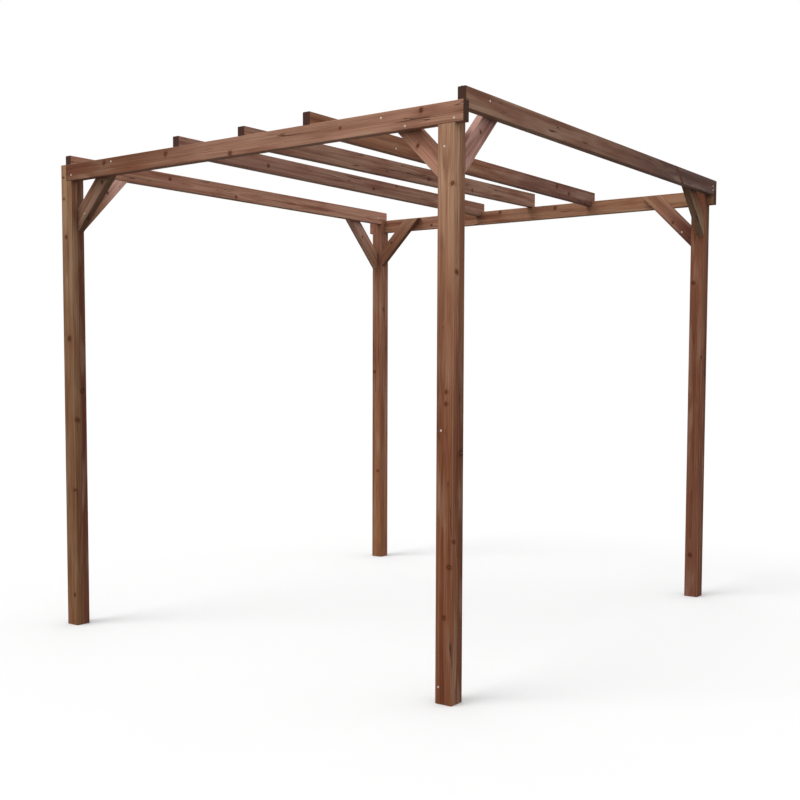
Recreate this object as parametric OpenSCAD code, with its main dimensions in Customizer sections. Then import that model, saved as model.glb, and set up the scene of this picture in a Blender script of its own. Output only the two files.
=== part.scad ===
// Free-standing pergola of planed, brown-treated softwood.
// Four square posts carry a front and a back header, five rafters lie across the headers,
// and every post has two knee braces, one to its header and one to the rafter beside it.
// The front edge faces -Y, the rafters run along Y, and the ground is at Z = 0.

/* [Plan] */
// Width over the outer faces of the posts, along the headers
frame_w = 2740; // [2000:10:3600]
// Depth over the outer faces of the posts, along the rafters
frame_d = 3100; // [2000:10:4200]

/* [Posts] */
// Side of a square post
post_side = 90; // [84:1:120]
// Height of the headers' undersides above the ground
clear_h = 2613; // [2000:1:2800]

/* [Headers] */
// Thickness of a header, and depth of the rebate that houses it in a post
header_t = 45; // [36:1:50]
// Height of a header
header_h = 95; // [80:1:140]
// Reach of the back header past the left post
back_header_reach = 60; // [0:1:120]

/* [Rafters] */
// Thickness of a rafter
rafter_t = 45; // [36:1:45]
// Height of a rafter
rafter_h = 95; // [80:1:140]
// Depth to which the rafters drop over the headers
notch_depth = 33; // [15:1:45]
// Extra depth of the left rafter's front notch
left_rafter_dip = 13; // [0:1:30]
// Extra depth of the second rafter's front notch
second_rafter_dip = 8; // [0:1:30]
// Extra depth of the middle rafter's front notch
middle_rafter_dip = 16; // [0:1:30]
// Distance from the middle of the frame to the left side of the middle rafter
middle_rafter_offset = 56; // [-100:1:100]
// Spacing of the second rafter from the middle one
second_rafter_spacing = 478; // [200:1:520]
// Spacing of the fourth rafter from the middle one
fourth_rafter_spacing = 435; // [200:1:480]
// Amount by which the middle rafter's back end lies to the left of its front end
middle_rafter_skew = 40; // [0:1:80]
// Amount by which the left rafter stops short of the back header's outer face
left_rafter_stop = 20; // [0:1:40]
// Amount by which the middle rafter stops short of the back header's outer face
middle_rafter_stop = 10; // [0:1:30]
// Amount by which the right rafter starts behind the front header's outer face
right_rafter_start = 22; // [0:1:35]

/* [Braces] */
// Thickness of a brace
brace_t = 45; // [36:1:45]
// Width of a brace across its sloping edges
brace_w = 92; // [70:1:110]
// Slope of the braces to the level
brace_angle = 45; // [35:1:55]
// Drop from the header's underside to the lower tip of the front left header brace
front_left_header_drop = 288; // [180:1:400]
// Drop from the header's underside to the lower tip of the front right header brace
front_right_header_drop = 252; // [180:1:400]
// Drop from the header's underside to the lower tip of the back left header brace
back_left_header_drop = 268; // [180:1:400]
// Drop from the header's underside to the lower tip of the back right header brace
back_right_header_drop = 270; // [180:1:400]
// Drop from the headers' undersides to the lower tips of the left rafter's braces
left_rafter_drop = 284; // [180:1:400]
// Drop from the headers' undersides to the lower tips of the right rafter's braces
right_rafter_drop = 212; // [180:1:400]
// Distance from the rafters' top edges down to the level cuts of the lapped rafter braces
lap_drop = 14; // [0:1:40]
// How far the header braces' heads stop below the headers' tops
head_drop = 9; // [0:1:40]

/* [Finish] */
// Width of the eased arrises along every timber
arris = 4; // [1:0.5:8]

/* [Hidden] */

// How far every cut runs past the timber that it cuts
overrun = 10;
post_color = "#8a6a55";
header_color = "#7d5747";
rafter_color = "#75594c";
brace_color = "#86665a";

// Outer faces of the posts, with the middle of the whole plan at X = Y = 0
plan_w = back_header_reach + frame_w + rafter_t;
left_face = -plan_w / 2 + back_header_reach;
right_face = left_face + frame_w;
front_face = -frame_d / 2;
back_face = frame_d / 2;

// Levels of the top frame
header_top = clear_h + header_h;
lap_top = header_top - notch_depth + rafter_h - lap_drop;

// Left sides of the rafters, from the left posts' outer faces
// The left rafter lies on the inner part of the left posts, clear of the brace outside it
left_rafter_x = brace_t;
middle_rafter_x = frame_w / 2 + middle_rafter_offset;
second_rafter_x = middle_rafter_x - second_rafter_spacing;
fourth_rafter_x = middle_rafter_x + fourth_rafter_spacing;
right_rafter_x = frame_w;
// Thickness of the tongue that a post keeps behind its rebate
tongue_t = post_side - header_t;

// Section of a planed timber, eased along its four arrises, with a corner at the origin
module section(a, b) {
    polygon([
        [arris, 0], [a - arris, 0], [a, arris], [a, b - arris],
        [a - arris, b], [arris, b], [0, b - arris], [0, arris]
    ]);
}

// Timbers that run along X, Y and Z, each from a corner at the origin
module timber_x(length, t, h) {
    rotate([90, 0, 90])
        linear_extrude(length)
            section(t, h);
}

module timber_y(length, t, h) {
    translate([0, length, 0])
        rotate([90, 0, 0])
            linear_extrude(length)
                section(t, h);
}

module timber_z(length, a, b) {
    linear_extrude(length)
        section(a, b);
}

// Post of a front corner: the rebate for the header is open to the front,
// and stop_w of it is left standing at the left as a stop for the header's end
module front_post(stop_w) {
    difference() {
        timber_z(header_top, post_side, post_side);
        translate([stop_w, -overrun, clear_h])
            cube([post_side - stop_w + overrun, header_t + overrun, header_h + overrun]);
    }
}

// Post of a back corner: the rebate for the header is open to the back
module back_post() {
    difference() {
        timber_z(header_top, post_side, post_side);
        translate([-overrun, tongue_t, clear_h])
            cube([post_side + 2 * overrun, header_t + overrun, header_h + overrun]);
    }
}

// Rafter laid across the headers, its left side x from the left posts' outer faces.
// Its underside lies front_depth below the front header's top and back_depth below the back one's,
// and its notches are cut level and square, front_seat and back_seat in from the outer faces.
// A tilted rafter leans out at the top of its front end, so it starts that much further back.
module rafter(x, front_depth, back_depth, front_seat, back_seat, start = 0, stop = 0, skew = 0) {
    tilt = atan((front_depth - back_depth) / (frame_d - header_t));
    turn = atan(skew / frame_d);
    lean = rafter_h * sin(tilt);
    difference() {
        translate([left_face + x, front_face + start + lean, header_top - front_depth])
            rotate([tilt, 0, turn])
                timber_y(frame_d - start - stop - lean, rafter_t, rafter_h);
        translate([left_face + x - skew - overrun, front_face - overrun, clear_h])
            cube([rafter_t + skew + 2 * overrun, front_seat + overrun, header_h]);
        translate([left_face + x - skew - overrun, back_face - back_seat, clear_h])
            cube([rafter_t + skew + 2 * overrun, back_seat + overrun, header_h]);
    }
}

// Knee brace in the XZ plane: its butt end stands on the post face at X = 0,
// its lower tip is at tip_z, and its upper end is cut level at top_z
module brace(tip_z, top_z) {
    butt_h = brace_w / cos(brace_angle);
    slope_length = (top_z - tip_z) / sin(brace_angle);
    difference() {
        translate([0, 0, tip_z])
            rotate([0, -brace_angle, 0])
                translate([-butt_h, 0, 0])
                    timber_x(slope_length + 2 * butt_h, brace_t, brace_w);
        translate([-2 * butt_h, -overrun, tip_z - 2 * butt_h])
            cube([2 * butt_h, brace_t + 2 * overrun, 4 * butt_h]);
        translate([-overrun, -overrun, top_z])
            cube([slope_length + 2 * butt_h, brace_t + 2 * overrun, slope_length + 2 * butt_h]);
    }
}

module header_brace(drop) {
    brace(clear_h - drop, header_top - head_drop);
}

// Turned so that it runs along Y, with its thickness along -X
module rafter_brace(drop, top_z) {
    rotate([0, 0, 90])
        brace(clear_h - drop, top_z);
}

module front_left_post() {
    color(post_color)
        translate([left_face, front_face, 0])
            front_post(left_rafter_x);
}

module front_right_post() {
    color(post_color)
        translate([right_face - post_side, front_face, 0])
            front_post(-overrun);
}

module back_left_post() {
    color(post_color)
        translate([left_face, back_face - post_side, 0])
            back_post();
}

module back_right_post() {
    color(post_color)
        translate([right_face - post_side, back_face - post_side, 0])
            back_post();
}

// The front header runs from the stop on the left post to the right rafter's outer face
module front_header() {
    color(header_color)
        translate([left_face + left_rafter_x, front_face, clear_h])
            timber_x(frame_w + rafter_t - left_rafter_x, header_t, header_h);
}

module back_header() {
    color(header_color)
        translate([left_face - back_header_reach, back_face - header_t, clear_h])
            timber_x(plan_w, header_t, header_h);
}

// The left rafter's notches sit on the posts' tongues as well as on the headers
module left_rafter() {
    color(rafter_color)
        rafter(
            left_rafter_x, notch_depth + left_rafter_dip, notch_depth,
            post_side, post_side, stop = left_rafter_stop
        );
}

module second_rafter() {
    color(rafter_color)
        rafter(second_rafter_x, notch_depth + second_rafter_dip, notch_depth, header_t, header_t);
}

// The middle rafter is notched at the front only: its back end rides on the header, a little askew
module middle_rafter() {
    color(rafter_color)
        rafter(
            middle_rafter_x, notch_depth + middle_rafter_dip, 0, header_t, header_t,
            stop = middle_rafter_stop, skew = middle_rafter_skew
        );
}

module fourth_rafter() {
    color(rafter_color)
        rafter(fourth_rafter_x, notch_depth, notch_depth, header_t, header_t);
}

// The right rafter hangs on the outer faces of the right posts
module right_rafter() {
    color(rafter_color)
        rafter(right_rafter_x, notch_depth, notch_depth, header_t, header_t, start = right_rafter_start);
}

module front_left_header_brace() {
    color(brace_color)
        translate([left_face + post_side, front_face + header_t, 0])
            header_brace(front_left_header_drop);
}

module front_right_header_brace() {
    color(brace_color)
        translate([right_face - post_side, front_face + header_t, 0])
            mirror([1, 0, 0])
                header_brace(front_right_header_drop);
}

module back_left_header_brace() {
    color(brace_color)
        translate([left_face + post_side, back_face - header_t - brace_t, 0])
            header_brace(back_left_header_drop);
}

module back_right_header_brace() {
    color(brace_color)
        translate([right_face - post_side, back_face - header_t - brace_t, 0])
            mirror([1, 0, 0])
                header_brace(back_right_header_drop);
}

// This brace stands under the left rafter, in one plane with it
module front_left_rafter_brace() {
    color(brace_color)
        translate([left_face + left_rafter_x + brace_t, front_face + post_side, 0])
            rafter_brace(left_rafter_drop, header_top - notch_depth - left_rafter_dip);
}

// The other three are lapped on the faces of their rafters, flush with the posts' outer faces
module back_left_rafter_brace() {
    color(brace_color)
        translate([left_face + brace_t, back_face - post_side, 0])
            mirror([0, 1, 0])
                rafter_brace(left_rafter_drop, lap_top);
}

module front_right_rafter_brace() {
    color(brace_color)
        translate([right_face, front_face + post_side, 0])
            rafter_brace(right_rafter_drop, lap_top);
}

module back_right_rafter_brace() {
    color(brace_color)
        translate([right_face, back_face - post_side, 0])
            mirror([0, 1, 0])
                rafter_brace(right_rafter_drop, lap_top);
}

front_left_post();
front_right_post();
back_left_post();
back_right_post();
front_header();
back_header();
left_rafter();
second_rafter();
middle_rafter();
fourth_rafter();
right_rafter();
front_left_header_brace();
front_right_header_brace();
back_left_header_brace();
back_right_header_brace();
front_left_rafter_brace();
front_right_rafter_brace();
back_left_rafter_brace();
back_right_rafter_brace();
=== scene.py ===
import math
import random

import bmesh
import bpy
from mathutils import Matrix, Vector


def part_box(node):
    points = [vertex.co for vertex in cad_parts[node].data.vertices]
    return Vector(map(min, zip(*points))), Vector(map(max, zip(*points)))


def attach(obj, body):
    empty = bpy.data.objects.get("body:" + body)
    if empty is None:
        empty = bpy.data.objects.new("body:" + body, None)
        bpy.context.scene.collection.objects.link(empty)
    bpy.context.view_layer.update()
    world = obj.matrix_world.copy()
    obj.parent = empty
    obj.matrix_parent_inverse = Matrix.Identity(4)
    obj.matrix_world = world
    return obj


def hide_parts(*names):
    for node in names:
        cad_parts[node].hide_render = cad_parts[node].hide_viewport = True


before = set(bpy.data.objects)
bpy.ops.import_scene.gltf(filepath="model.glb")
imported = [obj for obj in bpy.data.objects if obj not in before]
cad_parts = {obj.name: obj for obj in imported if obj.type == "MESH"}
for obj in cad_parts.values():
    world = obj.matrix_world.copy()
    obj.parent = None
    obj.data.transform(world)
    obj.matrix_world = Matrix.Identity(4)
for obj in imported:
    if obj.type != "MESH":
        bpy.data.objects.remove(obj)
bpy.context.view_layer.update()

# Posts
# Four posts stand on the ground, each of two planed softwood planks, brown from pressure treatment,
# screwed face to face. The inner plank rises behind the header, and the outer one ends below it as its seat.
# The front left post's outer plank keeps a stop, and the header's end butts against it.
MM = 0.001
RIGHTWARD, BACKWARD, UP = Vector((1, 0, 0)), Vector((0, 1, 0)), Vector((0, 0, 1))


def linear(code):
    """An sRGB hex colour as the linear values that shaders take."""
    channels = [int(code[i:i + 2], 16) / 255 for i in (1, 3, 5)]
    return (*(c / 12.92 if c <= 0.04045 else ((c + 0.055) / 1.055) ** 2.4 for c in channels), 1.0)


def add(tree, kind, sockets=None, **settings):
    """Adds a node: settings are its properties, and sockets hold values or the outputs that feed them."""
    node = tree.nodes.new(kind)
    for name, value in settings.items():
        setattr(node, name, value)
    for socket, value in (sockets or {}).items():
        if isinstance(value, bpy.types.NodeSocket):
            tree.links.new(value, node.inputs[socket])
        else:
            node.inputs[socket].default_value = value
    return node


def plank(outline, across, low, high):
    """A timber as a bmesh: an outline in the plane square to the X or Y axis, drawn out from low to high."""
    bm = bmesh.new()
    corners = [(low, u, v) if across == "X" else (u, low, v) for u, v in outline]
    face = bm.faces.new([bm.verts.new(c) for c in corners])
    grown = bmesh.ops.extrude_face_region(bm, geom=[face])["geom"]
    step = (high - low) * (RIGHTWARD if across == "X" else BACKWARD)
    bmesh.ops.translate(bm, vec=step, verts=[g for g in grown if isinstance(g, bmesh.types.BMVert)])
    bmesh.ops.recalc_face_normals(bm, faces=bm.faces)
    return bm


def ease(bm, along):
    """Rounds the planed arrises that run with the grain, and takes the sharpness off the sawn edges."""
    arris, arris_steps, sawn_edge = 4 * MM, 4, 0.6 * MM
    shortest, straight, sharpest = 200 * MM, 0.99, math.radians(40)

    def planed(edge):
        run = edge.verts[1].co - edge.verts[0].co
        return run.length > shortest and abs(run.normalized().dot(along)) > straight

    shape = dict(affect="EDGES", profile=0.5, material=-1, clamp_overlap=True)
    long_edges = [e for e in bm.edges if planed(e)]
    bmesh.ops.bevel(bm, geom=long_edges, offset=arris, segments=arris_steps, **shape)
    sharp = [e for e in bm.edges if e.is_manifold and e.calc_face_angle_signed() > sharpest]
    bmesh.ops.bevel(bm, geom=sharp, offset=sawn_edge, segments=1, **shape)


def brown_pine(name, start, length, tones, knots):
    """Pressure-treated pine: planed, then soaked in brown salts that heart and sapwood take unevenly.
    The eye sees a dull skin with long soft streaks, tan and red-brown patches, rings of darker late wood,
    small knots in a dark bark ring that the grain flows round, hair checks darkened with painted shade,
    and arrises lightened partly by rubbing and partly as painted highlight.
    The grain attribute holds metres from the pith in its first two values, and along it in the third."""
    # Rings and fibres are drawn coarser than life, where they would be too fine to show
    ring_width, pith_drift = 6 * MM, 32 * MM
    far_away, hair_width, fibre_height = 99.0, 0.006, 0.4
    mat = bpy.data.materials.new("brown_treated_pine_" + name)
    mat.use_nodes = True
    tree = mat.node_tree
    tree.nodes.clear()
    grain = add(tree, "ShaderNodeAttribute", attribute_name="grain").outputs["Vector"]

    # Clouds drawn out along the grain: millimetres across it and with it, and how fine they get
    noise = {}
    for key, across, with_grain, detail in (
        ("drift", 240, 900, 1.0),
        ("fibre", 2.2, 130, 3.0),
        ("streak", 24, 1200, 2.0),
        ("patch", 60, 380, 2.0),
        ("hairline", 26, 900, 1.0),
        ("blotch", 180, 420, 0.0),
        ("flake", 6, 14, 2.0),
    ):
        scale = (1 / (across * MM), 1 / (across * MM), 1 / (with_grain * MM))
        drawn_out = add(tree, "ShaderNodeVectorMath", {0: grain, 1: scale}, operation="MULTIPLY").outputs[0]
        cloud = {"Vector": drawn_out, "Scale": 1.0, "Detail": detail}
        noise[key] = add(tree, "ShaderNodeTexNoise", cloud).outputs

    # Knots are branches that ran out from the pith: the nearest one's distance, in knot radii
    knot = far_away
    for at, u, v, radius, lean in knots:
        reach = math.hypot(u, v)
        root = (0, 0, at - lean * reach)
        branch = Vector((u, v, lean * reach)).normalized()
        off = add(tree, "ShaderNodeVectorMath", {0: grain, 1: root}, operation="SUBTRACT").outputs[0]
        off = add(tree, "ShaderNodeVectorMath", {0: off, 1: branch}, operation="CROSS_PRODUCT").outputs[0]
        off = add(tree, "ShaderNodeVectorMath", {0: off}, operation="LENGTH").outputs["Value"]
        off = add(tree, "ShaderNodeMath", {0: off, 1: radius}, operation="DIVIDE").outputs[0]
        knot = add(tree, "ShaderNodeMath", {0: off, 1: knot}, operation="MINIMUM").outputs[0]
    ragged = {0: noise["flake"][0], 1: 1.0, 2: knot}
    knot = add(tree, "ShaderNodeMath", ragged, operation="MULTIPLY_ADD").outputs[0]

    # Growth rings: the pith wandered as the tree grew, so they drift across a sawn face
    shift = {0: noise["drift"]["Color"], 1: (pith_drift, pith_drift, 0), 2: grain}
    place = add(tree, "ShaderNodeVectorMath", shift, operation="MULTIPLY_ADD").outputs[0]
    place = add(tree, "ShaderNodeVectorMath", {0: place, 1: (1, 1, 0)}, operation="MULTIPLY").outputs[0]
    radius = add(tree, "ShaderNodeVectorMath", {0: place}, operation="LENGTH").outputs["Value"]
    turns = add(tree, "ShaderNodeMath", {0: radius, 1: ring_width}, operation="DIVIDE").outputs[0]
    bulge = add(tree, "ShaderNodeMapRange", {"Value": knot, 1: 1.3, 2: 3.9, 3: 2.0, 4: 0.0}).outputs[0]
    turns = add(tree, "ShaderNodeMath", {0: turns, 1: bulge}, operation="ADD").outputs[0]
    ring = add(tree, "ShaderNodeMath", {0: turns}, operation="FRACT").outputs[0]

    # How strongly each mark shows: its source, the range read from it, and the shares that range becomes
    share = {}
    for key, source, low, high, at_low, at_high in (
        ("red", noise["patch"][0], 0.5, 0.68, 0.0, 0.5),
        ("tan", noise["patch"][0], 0.32, 0.5, 0.3, 0.0),
        ("arris_rub_and_highlight", noise["patch"][0], 0.4, 0.6, 0.0, 0.3),
        ("streak", noise["streak"][0], 0.45, 0.65, 0.0, 0.45),
        ("fibre", noise["fibre"][0], 0.45, 0.7, 0.0, 0.3),
        ("dull", noise["fibre"][0], 0.3, 0.7, 0.7, 0.88),
        ("late", ring, 0.25, 0.9, 0.0, 0.3),
        ("flow", knot, 1.5, 4.1, 0.6, 0.0),
        ("bark", knot, 1.5, 2.1, 0.75, 0.0),
        ("core", knot, 1.1, 1.4, 1.0, 0.0),
        ("heart", knot, 0.55, 0.9, 0.45, 0.0),
        ("split", noise["blotch"][0], 0.5, 0.62, 0.0, 0.7),
    ):
        span = {"Value": source, 1: low, 2: high, 3: at_low, 4: at_high}
        share[key] = add(tree, "ShaderNodeMapRange", span, interpolation_type="SMOOTHSTEP").outputs[0]
    arris = add(tree, "ShaderNodeAttribute", attribute_name="arris").outputs["Fac"]
    # Arrises lightened in patches: partly rubbed, partly painted highlight where the rounded edges catch the
    # light
    rubbed_and_highlit_arris = add(tree, "ShaderNodeMath", {0: arris, 1: share["arris_rub_and_highlight"]}, operation="MULTIPLY").outputs[0]
    # Hair checks: a thin line that sinks the bump, and whose near-black colour is painted shade inside the
    # crack
    hair = {0: noise["hairline"][0], 1: 0.5, 2: hair_width}
    hairline_groove_and_shade = add(tree, "ShaderNodeMath", hair, operation="COMPARE").outputs[0]
    check = add(tree, "ShaderNodeMath", {0: hairline_groove_and_shade, 1: share["split"]}, operation="MULTIPLY").outputs[0]

    # Colour: the stain's tone along the board, which on two braces also carries painted shade near their
    # heads, and the marks laid over it one after another
    along = add(tree, "ShaderNodeSeparateXYZ", {0: grain}).outputs["Z"]
    run = add(tree, "ShaderNodeMapRange", {"Value": along, 1: start, 2: start + length}).outputs[0]
    stain = add(tree, "ShaderNodeValToRGB", {0: run})
    for _ in tones[2:]:
        stain.color_ramp.elements.new(1.0)
    for element, (position, code) in zip(stain.color_ramp.elements, tones):
        element.position = position
        element.color = linear(code)
    colour = stain.outputs[0]
    for blend, strength, code in (
        ("MIX", share["red"], "#6f4030"),
        ("MIX", share["tan"], "#a88e78"),
        ("MULTIPLY", share["streak"], "#b28e80"),
        ("MULTIPLY", share["late"], "#a98473"),
        ("MULTIPLY", share["fibre"], "#bfa79b"),
        # Painted highlight and rubbing: lighter tan on the arrises
        ("MIX", rubbed_and_highlit_arris, "#b59a84"),
        ("MULTIPLY", share["flow"], "#b5826a"),
        ("MIX", share["bark"], "#2a1812"),
        ("MIX", share["core"], "#54341f"),
        ("MIX", share["heart"], "#b58a62"),
        # Painted shade: the hair checks are drawn almost black
        ("MIX", check, "#2b1a14"),
    ):
        layer = {0: strength, 6: colour, 7: linear(code)}
        colour = add(tree, "ShaderNodeMix", layer, data_type="RGBA", blend_type=blend).outputs[2]

    ridges = {0: noise["fibre"][0], 1: fibre_height, 2: share["late"]}
    relief = add(tree, "ShaderNodeMath", ridges, operation="MULTIPLY_ADD").outputs[0]
    relief = add(tree, "ShaderNodeMath", {0: relief, 1: check}, operation="SUBTRACT").outputs[0]
    bump = add(tree, "ShaderNodeBump", {"Strength": 0.6, "Distance": 0.8 * MM, "Height": relief}).outputs[0]
    skin = {"Base Color": colour, "Roughness": share["dull"], "Specular IOR Level": 0.06, "Normal": bump}
    shader = add(tree, "ShaderNodeBsdfPrincipled", skin).outputs[0]
    add(tree, "ShaderNodeOutputMaterial", {"Surface": shader})
    return mat


def sawn_end():
    """Cross-cut pine: open pores drink more stain, so it is darker and duller than a planed face,
    with the rings as arcs and the rough marks of the saw."""
    ring_width, saw_mark = 6 * MM, 3 * MM
    mat = bpy.data.materials.new("brown_pine_sawn_end")
    mat.use_nodes = True
    tree = mat.node_tree
    tree.nodes.clear()
    grain = add(tree, "ShaderNodeAttribute", attribute_name="grain").outputs["Vector"]
    flat = add(tree, "ShaderNodeVectorMath", {0: grain, 1: (1, 1, 0)}, operation="MULTIPLY").outputs[0]
    radius = add(tree, "ShaderNodeVectorMath", {0: flat}, operation="LENGTH").outputs["Value"]
    turns = add(tree, "ShaderNodeMath", {0: radius, 1: ring_width}, operation="DIVIDE").outputs[0]
    ring = add(tree, "ShaderNodeMath", {0: turns}, operation="FRACT").outputs[0]
    cloud = {"Vector": grain, "Scale": 1 / saw_mark, "Detail": 3.0}
    marks = add(tree, "ShaderNodeTexNoise", cloud).outputs[0]
    layer = {0: ring, 6: linear("#5c4034"), 7: linear("#3f2a23")}
    rings = add(tree, "ShaderNodeMix", layer, data_type="RGBA").outputs[2]
    layer = {0: marks, 6: rings, 7: linear("#33221d")}
    tone = add(tree, "ShaderNodeMix", layer, data_type="RGBA").outputs[2]
    bump = add(tree, "ShaderNodeBump", {"Strength": 0.5, "Distance": 0.6 * MM, "Height": marks})
    shader = add(tree, "ShaderNodeBsdfPrincipled", {
        "Base Color": tone,
        "Roughness": 0.9,
        "Specular IOR Level": 0.1,
        "Normal": bump.outputs[0],
    })
    add(tree, "ShaderNodeOutputMaterial", {"Surface": shader.outputs[0]})
    return mat


def open_checks(piece, checks, foot, along, side, pith):
    """Cuts drying checks out of a timber: thin wedges that open towards the surface and point at the pith.
    Each check is how far along its middle is, where it opens in the two widths, its length and its width."""
    depth, clear = 9 * MM, 1.5 * MM
    end_width, end_curve, tip_width, waves = 0.05, 0.7, 0.1, 7
    third = along.cross(side)
    bm = bmesh.new()
    for at, u, v, length, width in checks:
        out = (side * (u - pith[0]) + third * (v - pith[1])).normalized()
        before = len(bm.verts)
        bm.from_mesh(BAR)
        bm.verts.ensure_lookup_table()
        wedge = bm.verts[before:]
        for vert in wedge:
            taper = max(end_width, math.cos(math.pi * vert.co.x) ** end_curve)
            bend = math.sin(waves * vert.co.x + at) * width
            opening, height = (taper, clear) if vert.co.z > 0 else (taper * tip_width, -depth * taper)
            vert.co = (vert.co.x * length, vert.co.y * width * opening + bend, height)
        turn = Matrix((along, out.cross(along), out)).transposed().to_4x4()
        at_face = foot + along * at + side * u + third * v
        bmesh.ops.transform(bm, matrix=Matrix.Translation(at_face) @ turn, verts=wedge)
    # Painted shade: the walls of the cut checks take the darker sawn-end skin, so the cracks read darker than
    # their own shading
    for face in bm.faces:
        face.material_index = 1
    bmesh.ops.recalc_face_normals(bm, faces=bm.faces)
    wedges = bpy.data.meshes.new("check_wedges")
    bm.to_mesh(wedges)
    bm.free()
    for mat in piece.data.materials:
        wedges.materials.append(mat)
    tool = bpy.data.objects.new("check_wedges", wedges)
    bpy.context.scene.collection.objects.link(tool)
    carve = piece.modifiers.new("checks", "BOOLEAN")
    carve.operation, carve.solver, carve.object = "DIFFERENCE", "EXACT", tool
    shaped = piece.evaluated_get(bpy.context.evaluated_depsgraph_get())
    carved = bpy.data.meshes.new_from_object(shaped)
    piece.modifiers.clear()
    piece.data = carved
    bpy.data.objects.remove(tool)


CHECK_CUTS = 11
BAR = bpy.data.meshes.new("unit_bar")
bm = bmesh.new()
bmesh.ops.create_cube(bm, size=1)
lengthwise = [e for e in bm.edges if abs(e.verts[0].co.x - e.verts[1].co.x) > 0.5]
bmesh.ops.subdivide_edges(bm, edges=lengthwise, cuts=CHECK_CUTS, use_grid_fill=True)
bm.to_mesh(BAR)
bm.free()
SAWN = sawn_end()
LOG_SPACING = 7.0
chance = random.Random(19)
timbers = []


def board(bm, node, foot, along, side, pith, tones, knots=(), checks=(), part=""):
    """Finishes a timber: eases its edges, opens its checks, lays it in a log of its own, and gives it
    its skin, its CAD node and its body. The log's axis starts at foot and runs along the grain, and side
    is the direction of the timber's first width. Knots and checks are given in millimetres: how far along,
    where they meet the surface in the two widths, then a knot's radius and lean, or a check's length
    and width."""
    cut_across, usual_lean, flat = 0.6, 0.25, 0.98
    ease(bm, along)
    third = along.cross(side)
    name = node + part
    pith = [p * MM for p in pith]
    length = max((v.co - foot).dot(along) for v in bm.verts)
    start = LOG_SPACING * (len(timbers) + 1)
    mesh = bpy.data.meshes.new(name + "_timber")
    for face in bm.faces:
        face.material_index = int(abs(face.normal.dot(along)) > cut_across)
    bm.to_mesh(mesh)
    bm.free()
    in_log = [
        (start + at * MM, u * MM - pith[0], v * MM - pith[1], radius * MM, *(lean or [usual_lean]))
        for at, u, v, radius, *lean in knots
    ]
    mesh.materials.append(brown_pine(name, start, length, tones, in_log))
    mesh.materials.append(SAWN)
    piece = bpy.data.objects.new(name + "_timber", mesh)
    bpy.context.scene.collection.objects.link(piece)
    if checks:
        open_checks(piece, [[value * MM for value in check] for check in checks], foot, along, side, pith)
    mesh = piece.data
    mesh.name = piece.name
    grain = mesh.attributes.new("grain", "FLOAT_VECTOR", "POINT")
    for vert, value in zip(mesh.vertices, grain.data):
        off = vert.co - foot
        value.vector = (off.dot(side) - pith[0], off.dot(third) - pith[1], off.dot(along) + start)
    arris = mesh.attributes.new("arris", "FLOAT", "FACE")
    for face, value in zip(mesh.polygons, arris.data):
        value.value = float(max(abs(face.normal.dot(axis)) for axis in (side, third, along)) < flat)
    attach(piece, "root")
    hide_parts(node)
    timbers.append(piece)


POST_TONES = {
    "front_left": (
        [(0.0, "#7a583c"), (0.6, "#7c5c42"), (0.85, "#8a6b50"), (1.0, "#957455")],
        [(0.0, "#6a4234"), (0.7, "#66402f"), (1.0, "#6a4638")],
    ),
    "front_right": (
        [(0.0, "#7c5039"), (0.45, "#7e5239"), (0.7, "#92684f"), (0.9, "#a88469")],
        [(0.0, "#6c4432"), (0.45, "#643f2d"), (0.7, "#7e5842"), (0.9, "#8e6c54")],
    ),
    "back_left": ([(0.0, "#8b5f40"), (1.0, "#8c6350")], [(0.0, "#97694a"), (1.0, "#8c6350")]),
    "back_right": ([(0.0, "#774e3b"), (1.0, "#774c38")], [(0.0, "#684430"), (1.0, "#68422e")]),
}
# Knots and checks are measured from the middle of the post, and each falls on the front or the rear plank
POST_KNOTS = {
    "front_left": [
        (2637, -25, -45, 4), (2513, -22, -45, 4), (2292, -8, -45, 6), (1700, 8, -45, 9), (809, 40, -45, 5),
        (181, 25, -45, 6), (1392, 45, 12, 7), (1222, 45, -24, 7),
    ],
    "front_right": [
        (2348, 36, -45, 6), (1427, 8, -45, 5), (1373, 8, -45, 5), (402, 2, -45, 6), (636, 28, -45, 6),
        (751, 43, -30, 5), (1150, 45, 27, 8), (1960, 45, -20, 6),
    ],
    "back_left": [(700, 10, -45, 6), (1500, -20, -45, 6), (2000, 45, -14, 6), (1100, -45, 10, 7)],
    "back_right": [(281, -9, -45, 7), (1500, 45, 20, 6), (2100, -20, -45, 6), (900, 10, 45, 7)],
}
POST_CHECKS = {
    "front_left": [(1500, 12, -45, 240, 2), (900, -6, 45, 800, 3)],
    "front_right": [
        (2120, 45, -18, 420, 2.5), (1243, 8, -45, 60, 2.5), (831, 38, -45, 120, 2.5), (1500, 6, 45, 900, 3),
    ],
    "back_left": [(1500, -14, -45, 500, 2), (800, 5, 45, 700, 3)],
    "back_right": [(1700, 45, 20, 640, 2.5), (1000, 8, 45, 900, 3)],
}
FRONT_PITH, REAR_PITH = (8, 36), (-6, -40)
HALF_PLANK, SEAM_GAP = 22.5, 1 * MM
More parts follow.
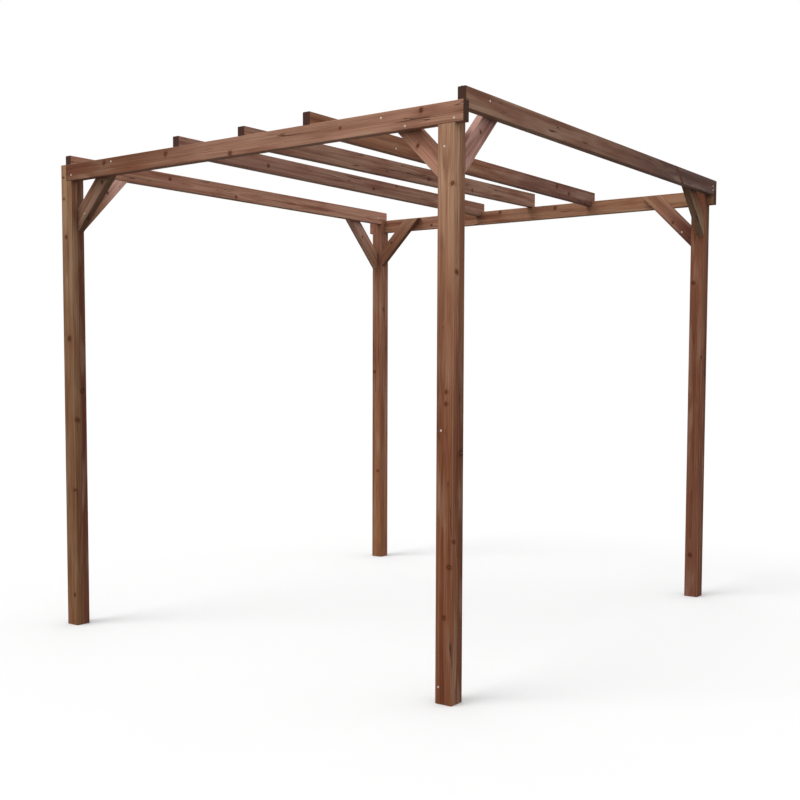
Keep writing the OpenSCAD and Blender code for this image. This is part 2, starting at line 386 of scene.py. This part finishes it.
for row in ("front", "back"):
    header_low, header_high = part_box(row + "_header")
    shoulder = header_low.z
    for hand in ("left", "right"):
        corner = f"{row}_{hand}"
        low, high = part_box(corner + "_post")
        seam = header_high.y if row == "front" else header_low.y
        front_top, rear_top = (shoulder, high.z) if row == "front" else (high.z, shoulder)
        for part, near, far, top in (
            ("_front_plank", low.y, seam - SEAM_GAP / 2, front_top),
            ("_rear_plank", seam + SEAM_GAP / 2, high.y, rear_top),
        ):
            bm = plank([(near, low.z), (far, low.z), (far, top), (near, top)], "X", low.x, high.x)
            if top == shoulder and header_low.x > low.x:
                everything = bm.verts[:] + bm.edges[:] + bm.faces[:]
                bmesh.ops.bisect_plane(bm, geom=everything, plane_co=(header_low.x, 0, 0), plane_no=RIGHTWARD)
                ledge = next(
                    f for f in bm.faces if f.normal.z > 0.9 and f.calc_center_median().x < header_low.x
                )
                stop = bmesh.ops.extrude_discrete_faces(bm, faces=[ledge])["faces"][0]
                bmesh.ops.translate(bm, vec=UP * (high.z - shoulder), verts=stop.verts)
                bmesh.ops.remove_doubles(bm, verts=bm.verts, dist=0.1 * MM)
                bmesh.ops.dissolve_limit(bm, angle_limit=math.radians(1), verts=bm.verts, edges=bm.edges)
            foot = Vector(((low.x + high.x) / 2, (near + far) / 2, low.z))
            is_front = part == "_front_plank"
            shift = HALF_PLANK if is_front else -HALF_PLANK
            board(
                bm, corner + "_post", foot, UP, RIGHTWARD, FRONT_PITH if is_front else REAR_PITH,
                POST_TONES[corner][0 if is_front else 1],
                [(at, u, v + shift, *rest) for at, u, v, *rest in POST_KNOTS[corner] if (v < 0) == is_front],
                [(at, u, v + shift, *rest) for at, u, v, *rest in POST_CHECKS[corner] if (v < 0) == is_front],
                part,
            )

# Headers
# Two planks on edge, of the same brown softwood, sit on the posts' outer planks, against the inner ones.
# The front one runs from the left post's stop to the right rafter, the back one past both posts.
HEADER_TONES = {
    "front": [(0.0, "#714a38"), (0.2, "#7b543f"), (0.4, "#98725f"), (1.0, "#a07762")],
    "back": [(0.0, "#976d58"), (1.0, "#9d7559")],
}
HEADER_KNOTS = {
    "front": [
        (845, -22, 17, 7), (1325, -22, -32, 7), (339, -22, 22, 6), (2049, -22, 5, 4), (2500, 22, -10, 6),
    ],
    "back": [(1675, -22, 23, 6), (1217, -22, 31, 6), (600, -22, -20, 6), (2300, 22, 5, 7)],
}
HEADER_CHECKS = {
    "front": [(1750, -22.5, 8, 520, 2), (700, 22.5, -6, 800, 2.5)],
    "back": [(1900, 22.5, 10, 900, 2.5), (900, -22.5, -4, 500, 2)],
}
HEADER_PITH = (34, -20)
for row in ("front", "back"):
    low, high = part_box(row + "_header")
    bm = plank([(low.y, low.z), (high.y, low.z), (high.y, high.z), (low.y, high.z)], "X", low.x, high.x)
    foot = (low + high) / 2
    foot.x = low.x
    board(
        bm, row + "_header", foot, RIGHTWARD, BACKWARD, HEADER_PITH, HEADER_TONES[row],
        HEADER_KNOTS[row], HEADER_CHECKS[row],
    )

# Rafters
# Five planks on edge lie across the headers, notched over them with level saw cuts and screwed down.
# The middle one is notched at the front alone, so its back end rides high and a little askew.
RAFTER_H, RAFTER_T, NOTCH = 95 * MM, 45 * MM, 33 * MM
RAFTER_TONES = {
    "left": [(0.0, "#a27864"), (1.0, "#a97f6c")],
    "second": [(0.0, "#936f61"), (1.0, "#93705f")],
    "middle": [(0.0, "#957361"), (1.0, "#92705f")],
    "fourth": [(0.0, "#8d644c"), (0.5, "#8c624c"), (0.7, "#78544a"), (1.0, "#7c594e")],
    "right": [(0.0, "#8f6e5c"), (0.45, "#866756"), (0.7, "#614841"), (1.0, "#5f4d49")],
}
RAFTER_KNOTS = {
    "left": [(766, 22, -12, 6), (1361, 22, 28, 6), (2300, -22, 10, 6)],
    "second": [(1715, 22, 17, 5), (1970, 22, -34, 4), (700, 22, 10, 6), (2600, -22, -10, 6)],
    "middle": [(1685, 22, 15, 6), (2212, 22, 25, 6), (900, -22, -12, 7)],
    "fourth": [(2532, 22, -20, 6), (2705, 22, 8, 6, -0.8), (1100, 22, 18, 6), (1800, -22, 0, 7)],
    "right": [(2414, 22, -18, 5, -1.26)],
}
RAFTER_CHECKS = {
    "left": [(1880, 22.5, 10, 690, 2.2)],
    "second": [(1200, 22.5, -8, 600, 2)],
    "middle": [(1400, 22.5, 10, 800, 2), (2100, -22.5, 5, 700, 2.5)],
    "fourth": [(1500, 22.5, -14, 520, 2)],
    "right": [(900, 22.5, 14, 800, 2.5), (1900, -22.5, -8, 800, 2.5)],
}
# The right rafter was sawn beside the pith, so a branch lies in its outer face as a long slanting knot
RAFTER_PITH = {"right": (20, 78)}
USUAL_PITH = (-28, 22)
# How much lower than the common notch a front end lies, how much higher a back end, and its lean to the left
FRONT_DIP = {"left": 13 * MM, "second": 8 * MM, "middle": 16 * MM}
BACK_RISE = {"middle": NOTCH}
SKEW = {"middle": 40 * MM}
front_low, front_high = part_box("front_header")
back_low, back_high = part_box("back_header")
post_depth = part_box("front_left_post")[1].y - front_low.y
seat = front_high.z
rafter_tops = []
for place in ("left", "second", "middle", "fourth", "right"):
    low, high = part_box(place + "_rafter")
    front_under = seat - NOTCH - FRONT_DIP.get(place, 0)
    rise = (seat - NOTCH + BACK_RISE.get(place, 0) - front_under) / (back_low.y - front_low.y)
    reach = post_depth if place == "left" else front_high.y - front_low.y
    front_cut, back_cut = front_low.y + reach, back_high.y - reach
    under = {y: front_under + rise * (y - front_low.y) for y in (low.y, front_cut, back_cut, high.y)}
    outline = [
        (low.y, seat), (front_cut, seat), (front_cut, under[front_cut]), (back_cut, under[back_cut]),
        (back_cut, seat), (high.y, seat), (high.y, under[high.y] + RAFTER_H),
        (low.y, under[low.y] + RAFTER_H),
    ]
    bm = plank(outline, "X", high.x - RAFTER_T, high.x)
    lean = SKEW.get(place, 0) / (back_high.y - front_low.y)
    askew = Matrix.Identity(4)
    askew[0][1], askew[0][3] = -lean, lean * front_low.y
    bmesh.ops.transform(bm, matrix=askew, verts=bm.verts)
    foot = Vector((high.x - RAFTER_T / 2, low.y, under[low.y] + RAFTER_H / 2))
    for y in ((front_low.y + front_high.y) / 2, (back_low.y + back_high.y) / 2):
        top = front_under + rise * (y - front_low.y) + RAFTER_H
        rafter_tops.append(Vector((foot.x - lean * (y - front_low.y), y, top)))
    along = Vector((-lean, 1, rise)).normalized()
    side = along.cross(UP).normalized()
    pith = RAFTER_PITH.get(place, USUAL_PITH)
    board(
        bm, place + "_rafter", foot, along, side, pith, RAFTER_TONES[place],
        RAFTER_KNOTS[place], RAFTER_CHECKS[place],
    )

# Knee braces
# Eight short planks at 45 degrees, two at each post, stiffen the frame.
# Their feet are mitred to stand on the posts' faces, and their heads are sawn level where they are
# screwed to the headers and rafters.
BRACE_BUTT = 92 * MM * math.sqrt(2)
BRACE_TONES_AND_SHADE = {
    "front_left_header": [(0.0, "#7d604e"), (1.0, "#866a58")],
    # Painted shade: this brace darkens towards its head, where the header shades it
    "front_right_header": [(0.0, "#b98975"), (0.5, "#a67c65"), (1.0, "#986555")],
    "back_left_header": [(0.0, "#865f49"), (1.0, "#865f4a")],
    "back_right_header": [(0.0, "#603a30"), (0.5, "#976d5b"), (1.0, "#a88365")],
    "front_left_rafter": [(0.0, "#764a2e"), (0.37, "#a2745a"), (0.62, "#c49a8c"), (0.9, "#d8afa2")],
    # Painted shade: this brace darkens towards its head, under the header and rafter
    "front_right_rafter": [(0.0, "#b9938a"), (0.6, "#b08c82"), (1.0, "#8a6a62")],
    "back_left_rafter": [(0.0, "#b58f74"), (1.0, "#c4a297")],
    "back_right_rafter": [(0.0, "#80664e"), (1.0, "#6c5040")],
}
BRACE_PITH = (-26, 20)
# Each brace has one small knot in its broad face, at a place drawn by chance
KNOT_ALONG, KNOT_FACE, KNOT_OFF, KNOT_RADIUS = (120, 380), 22, 30, (4, 6)
for row, backward in (("front", -1), ("back", 1)):
    for hand, rightward in (("left", -1), ("right", 1)):
        for kind, axis, across, heading in (("header", 0, "Y", -rightward), ("rafter", 1, "X", -backward)):
            name = f"{row}_{hand}_{kind}"
            low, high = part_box(name + "_brace")
            heel, toe = (low[axis], high[axis]) if heading > 0 else (high[axis], low[axis])
            outline = [
                (heel, low.z), (toe, high.z), (toe - heading * BRACE_BUTT, high.z), (heel, low.z + BRACE_BUTT),
            ]
            bm = plank(outline, across, low[1 - axis], high[1 - axis])
            foot = (low + high) / 2
            foot[axis], foot.z = heel, low.z + BRACE_BUTT / 2
            along = (heading * (RIGHTWARD, BACKWARD)[axis] + UP).normalized()
            side = along.cross(UP).normalized()
            at = chance.uniform(*KNOT_ALONG)
            off = chance.uniform(-KNOT_OFF, KNOT_OFF)
            knot = (at, KNOT_FACE, off, chance.uniform(*KNOT_RADIUS))
            board(bm, name + "_brace", foot, along, side, BRACE_PITH, BRACE_TONES_AND_SHADE[name], [knot])

# Screws
# Bright zinc-plated countersunk screws with cross recesses, driven almost flush, hold the joints
# and the posts' planks together. They show as pale dots on headers, posts, braces and rafters.
HEAD_RADIUS, HEAD_DEPTH, PROUD = 4.8 * MM, 2.4 * MM, 0.7 * MM
COLLAR, ARM, RECESS = 0.3 * HEAD_RADIUS, 0.45 * HEAD_RADIUS, 0.5 * HEAD_DEPTH
ROUND, ARMS = 16, 4


def zinc():
    """Bright zinc on steel: a pale metal, a little dulled by weather in small clouds."""
    cloud_size = 2 * MM
    mat = bpy.data.materials.new("zinc_plated_steel")
    mat.use_nodes = True
    tree = mat.node_tree
    tree.nodes.clear()
    place = add(tree, "ShaderNodeTexCoord").outputs["Object"]
    cloud = {"Vector": place, "Scale": 1 / cloud_size, "Detail": 2.0}
    dull = add(tree, "ShaderNodeTexNoise", cloud).outputs[0]
    layer = {0: dull, 6: linear("#e8e4dc"), 7: linear("#b9b4aa")}
    tone = add(tree, "ShaderNodeMix", layer, data_type="RGBA").outputs[2]
    rough = add(tree, "ShaderNodeMapRange", {"Value": dull, "To Min": 0.3, "To Max": 0.55}).outputs[0]
    shader = add(tree, "ShaderNodeBsdfPrincipled", {
        "Base Color": tone,
        "Metallic": 1.0,
        "Roughness": rough,
    })
    add(tree, "ShaderNodeOutputMaterial", {"Surface": shader.outputs[0]})
    return mat


def screws(name, heads):
    """One mesh of screw heads: each is a point on a face, in metres, and the direction out of that face."""
    bm = bmesh.new()
    for point, out in heads:
        head = bmesh.ops.create_cone(
            bm, cap_ends=True, segments=ROUND, radius1=HEAD_RADIUS / 2, radius2=HEAD_RADIUS, depth=HEAD_DEPTH
        )["verts"]
        top = next(f for f in {f for v in head for f in v.link_faces} if min(v.co.z for v in f.verts) > 0)
        collar = bmesh.ops.inset_individual(bm, faces=[top], thickness=COLLAR)["faces"]
        arms = bmesh.ops.inset_individual(bm, faces=[top], thickness=ARM)["faces"]
        slots = [top] + arms[::ROUND // ARMS]
        made = {v for f in slots + collar + arms for v in f.verts} | set(head)
        sunk = bmesh.ops.extrude_face_region(bm, geom=slots)["geom"]
        bottom = [g for g in sunk if isinstance(g, bmesh.types.BMVert)]
        bmesh.ops.delete(bm, geom=slots, context="FACES")
        bmesh.ops.translate(bm, vec=(0, 0, -RECESS), verts=bottom)
        made.update(bottom)
        turn = Matrix.Rotation(chance.uniform(0, math.pi), 4, "Z")
        facing = out.to_track_quat("Z", "Y").to_matrix().to_4x4()
        place = Matrix.Translation(point + out * (PROUD - HEAD_DEPTH / 2))
        bmesh.ops.transform(bm, matrix=place @ facing @ turn, verts=list(made))
    bmesh.ops.recalc_face_normals(bm, faces=bm.faces)
    mesh = bpy.data.meshes.new(name)
    bm.to_mesh(mesh)
    bm.free()
    mesh.materials.append(ZINC)
    piece = bpy.data.objects.new(name, mesh)
    bpy.context.scene.collection.objects.link(piece)
    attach(piece, "root")


ZINC = zinc()
HEADER_PLACES = [(1374, 2632), (1109, 2628), (973, 2682), (-918, 2685), (-1271, 2645)]
POST_PLACES = [(1324, 2514), (1314, 1253), (1306, 79)]
screws("header_screws", [
    (Vector((x * MM, y, z * MM)), way)
    for y, way in ((front_low.y, -BACKWARD), (back_high.y, BACKWARD))
    for x, z in HEADER_PLACES
])
screws("post_screws", [(Vector((x * MM, front_low.y, z * MM)), -BACKWARD) for x, z in POST_PLACES])
screws("rafter_top_screws", [(point, UP) for point in rafter_tops])
RAFTER_SIDES = [
    ("right", 1486, 2729), ("right", 1486, 2703), ("right", -1328, 2739), ("left", 1413, 2720),
    ("fourth", -842, 2703),
]
screws("rafter_side_screws", [
    (Vector((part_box(place + "_rafter")[1].x, y * MM, z * MM)), RIGHTWARD) for place, y, z in RAFTER_SIDES
])
BRACE_SCREW_IN, BRACE_SCREW_UP = 62 * MM, 98 * MM
at_feet = []
for corner, from_behind in (
    ("front_left", False), ("front_right", True), ("back_left", True), ("back_right", False),
):
    low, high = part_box(corner + "_header_brace")
    x = low.x + BRACE_SCREW_IN if corner.endswith("left") else high.x - BRACE_SCREW_IN
    y, way = (high.y, BACKWARD) if from_behind else (low.y, -BACKWARD)
    at_feet.append((Vector((x, y, low.z + BRACE_SCREW_UP)), way))
screws("brace_screws", at_feet)

# Studio
# A plain pale floor, soft light from above and the front left, and the camera at the photograph's place.
# Camera, glossy and transmission rays see the floor and the surround as white.
FLOOR_REACH = 60.0
floor_mesh = bpy.data.meshes.new("floor")
bm = bmesh.new()
bmesh.ops.create_grid(bm, x_segments=1, y_segments=1, size=FLOOR_REACH)
bm.to_mesh(floor_mesh)
bm.free()
floor = bpy.data.objects.new("floor", floor_mesh)
bpy.context.scene.collection.objects.link(floor)


def seen_directly(tree):
    """1 for rays from the camera, a gloss or a glass, and 0 for light on its way between surfaces."""
    path = add(tree, "ShaderNodeLightPath").outputs
    rays = {0: path["Is Camera Ray"], 1: path["Is Glossy Ray"]}
    seen = add(tree, "ShaderNodeMath", rays, operation="MAXIMUM").outputs[0]
    rays = {0: seen, 1: path["Is Transmission Ray"]}
    return add(tree, "ShaderNodeMath", rays, operation="MAXIMUM").outputs[0]


paint = bpy.data.materials.new("pale_studio_floor")
paint.use_nodes = True
tree = paint.node_tree
tree.nodes.clear()
dull = add(tree, "ShaderNodeBsdfDiffuse", {"Color": linear("#626260")})
pale = add(tree, "ShaderNodeBsdfDiffuse", {"Color": linear("#c8c8c8")})
both = add(tree, "ShaderNodeMixShader", {0: seen_directly(tree), 1: dull.outputs[0], 2: pale.outputs[0]})
add(tree, "ShaderNodeOutputMaterial", {"Surface": both.outputs[0]})
floor_mesh.materials.append(paint)

SKY_LEVEL = 1.35
world = bpy.data.worlds.new("studio")
world.use_nodes = True
bpy.context.scene.world = world
tree = world.node_tree
tree.nodes.clear()
sky = add(tree, "ShaderNodeBackground", {"Color": linear("#ffffff"), "Strength": SKY_LEVEL})
surround = add(tree, "ShaderNodeBackground", {"Color": linear("#ffffff"), "Strength": 1.0})
both = add(tree, "ShaderNodeMixShader", {0: seen_directly(tree), 1: sky.outputs[0], 2: surround.outputs[0]})
add(tree, "ShaderNodeOutputWorld", {"Surface": both.outputs[0]})

KEY_FROM, KEY_LEVEL, KEY_SPREAD = Vector((-0.25, -0.5, 0.85)), 1.6, math.radians(30)
lamp = bpy.data.lights.new("key", "SUN")
lamp.energy = KEY_LEVEL
lamp.angle = KEY_SPREAD
key = bpy.data.objects.new("key", lamp)
key.rotation_mode = "QUATERNION"
key.rotation_quaternion = KEY_FROM.to_track_quat("Z", "Y")
bpy.context.scene.collection.objects.link(key)

SENSOR, IMAGE_SIDE = 36.0, 800
FOCAL_PIXELS, MIDDLE_PIXEL = 1110.7, (390.8, 435.9)
CAMERA_PLACE = Vector((4.085, -5.707, 1.536))
YAW, PITCH, ROLL = math.radians(36.28), math.radians(3.529), math.radians(0.145)
lens = bpy.data.cameras.new("camera")
lens.sensor_width = SENSOR
lens.lens = FOCAL_PIXELS / IMAGE_SIDE * SENSOR
lens.shift_x = (IMAGE_SIDE / 2 - MIDDLE_PIXEL[0]) / IMAGE_SIDE
lens.shift_y = (MIDDLE_PIXEL[1] - IMAGE_SIDE / 2) / IMAGE_SIDE
ahead = Vector((-math.sin(YAW) * math.cos(PITCH), math.cos(YAW) * math.cos(PITCH), -math.sin(PITCH)))
level = Vector((math.cos(YAW), math.sin(YAW), 0))
upright = level.cross(ahead)
right = math.cos(ROLL) * level + math.sin(ROLL) * upright
above = math.cos(ROLL) * upright - math.sin(ROLL) * level
camera = bpy.data.objects.new("camera", lens)
camera.matrix_world = Matrix.Translation(CAMERA_PLACE) @ Matrix((right, above, -ahead)).transposed().to_4x4()
bpy.context.scene.collection.objects.link(camera)
bpy.context.scene.camera = camera
bpy.context.scene.view_settings.view_transform = "Standard"
